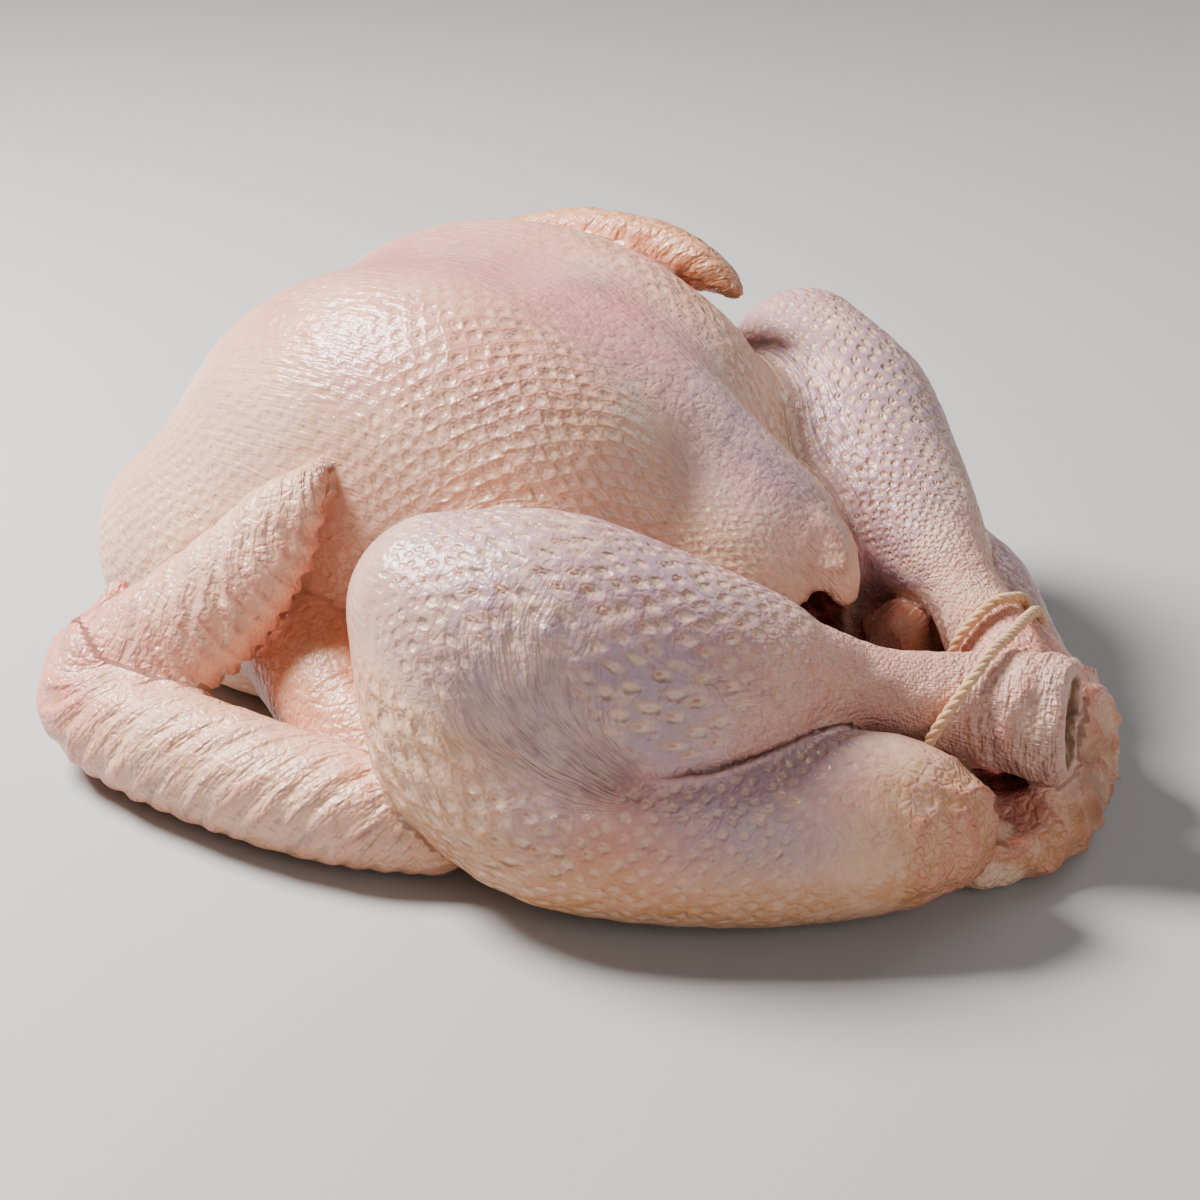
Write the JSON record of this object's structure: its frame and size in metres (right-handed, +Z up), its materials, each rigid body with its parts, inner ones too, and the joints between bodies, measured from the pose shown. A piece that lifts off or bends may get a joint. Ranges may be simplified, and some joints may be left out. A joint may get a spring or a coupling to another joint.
{
  "type": "whole raw turkey",
  "caption": "Whole raw turkey lying on its back, drumsticks tied together with twine over an open body cavity, wings folded at the sides.",
  "frame": {"origin": "under the middle of the bird's box, on the surface it lies on", "axes": "+Z up, +X from the neck end to the tail, +Y to the side with the raised wing"},
  "size_m": [0.3988, 0.3238, 0.1634],
  "materials": {
    "turkey": "moist pale skin, cream and pink with a lavender tint",
    "twine": "undyed twisted cotton"
  },
  "bodies": {
    "root": {"turkey": "turkey", "twine": "twine"}
  },
  "joints": []
}
